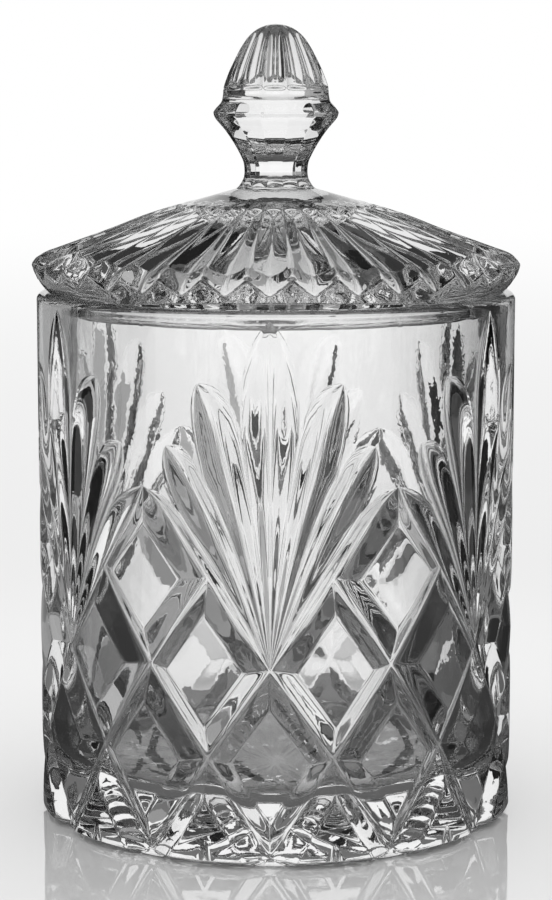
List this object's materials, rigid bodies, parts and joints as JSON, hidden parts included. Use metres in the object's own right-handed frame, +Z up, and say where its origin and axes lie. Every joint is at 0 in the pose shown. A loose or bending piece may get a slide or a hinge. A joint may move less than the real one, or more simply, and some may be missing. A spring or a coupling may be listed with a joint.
{
  "type": "candy jar",
  "caption": "Straight-sided clear glass candy jar with a cut diamond-and-fan wall, a star-cut foot and a fluted lift-off lid with a faceted knob.",
  "frame": {"origin": "centre of the jar's foot, on the surface that it stands on", "axes": "+Z up along the jar's axis, -Y towards the front, where a fan's middle leaf is"},
  "size_m": [0.1224, 0.1224, 0.1992],
  "materials": {
    "body_glass": "clear crystal glass, fire-polished inside, cut and polished V grooves outside",
    "lid_glass": "clear crystal glass, pressed flutes, slight ripple from the mould"
  },
  "bodies": {
    "jar": {"jar_body": "body_glass"},
    "lid": {"lid": "lid_glass"}
  },
  "joints": [
    {"name": "lid_lift", "type": "slide", "parent": "jar", "child": "lid", "axis": [0, 0, 1], "range_m": [0, 0.09]}
  ]
}
